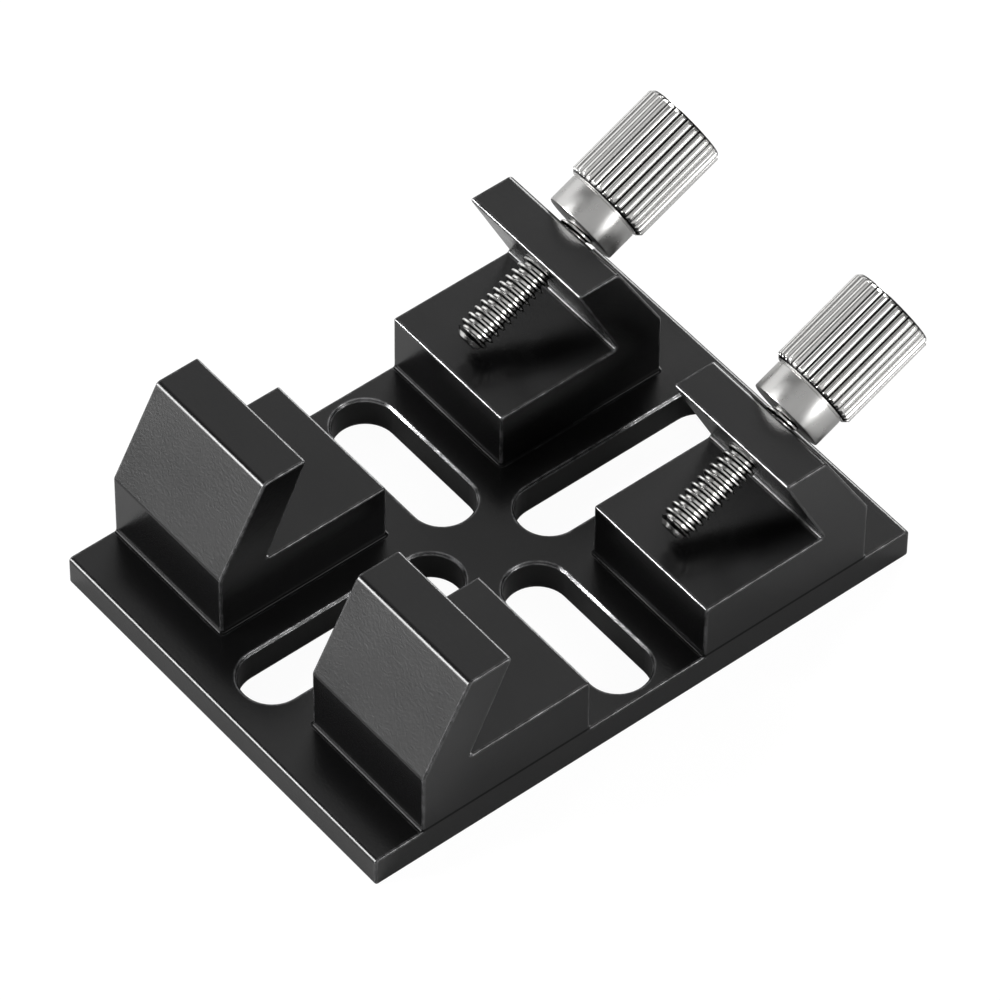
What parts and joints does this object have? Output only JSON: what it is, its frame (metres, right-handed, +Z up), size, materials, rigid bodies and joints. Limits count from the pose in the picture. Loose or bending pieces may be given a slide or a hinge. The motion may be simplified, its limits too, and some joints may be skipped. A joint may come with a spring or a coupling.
{
  "type": "finder scope dovetail base",
  "caption": "Slotted black plate with a female dovetail for a telescope finder's foot, clamped by tilted knurled thumbscrews.",
  "frame": {"origin": "middle of the plate's underside, the face that sits on the telescope", "axes": "+X along the dovetail channel, +Y towards the thumbscrews, +Z up out of the channel"},
  "size_m": [0.0446, 0.0666, 0.0278],
  "materials": {
    "black_anodised": "black anodised over a fine bead blast, satin, with lighter broken edges",
    "bright_thread": "bright plated cut thread",
    "bright_knurl": "bright plated, turned collar and straight knurl"
  },
  "bodies": {
    "base": {"dovetail_base": "black_anodised"},
    "left_stud": {"left_screw_stud": "bright_thread"},
    "left_head": {"left_screw_head": "bright_knurl"},
    "right_stud": {"right_screw_stud": "bright_thread"},
    "right_head": {"right_screw_head": "bright_knurl"}
  },
  "joints": [
    {"name": "left_screw_travel", "type": "slide", "parent": "base", "child": "left_stud", "axis": [0, 0.9026, 0.4305], "range_m": [-0.00042, 0.0127]},
    {"name": "left_screw_turn", "type": "hinge", "parent": "left_stud", "child": "left_head", "pos_m": [-0.01443, 0.01728, 0.01585], "axis": [0, 0.9026, 0.4305], "range_deg": [-191, 5761]},
    {"name": "right_screw_travel", "type": "slide", "parent": "base", "child": "right_stud", "axis": [0, 0.9026, 0.4305], "range_m": [-0.00042, 0.0127]},
    {"name": "right_screw_turn", "type": "hinge", "parent": "right_stud", "child": "right_head", "pos_m": [0.01443, 0.01728, 0.01585], "axis": [0, 0.9026, 0.4305], "range_deg": [-191, 5761]}
  ],
  "couplings": [
    {"joint": "left_screw_turn", "follows": "left_screw_travel", "rad_per_m": 7915.8},
    {"joint": "right_screw_turn", "follows": "right_screw_travel", "rad_per_m": 7915.8}
  ]
}
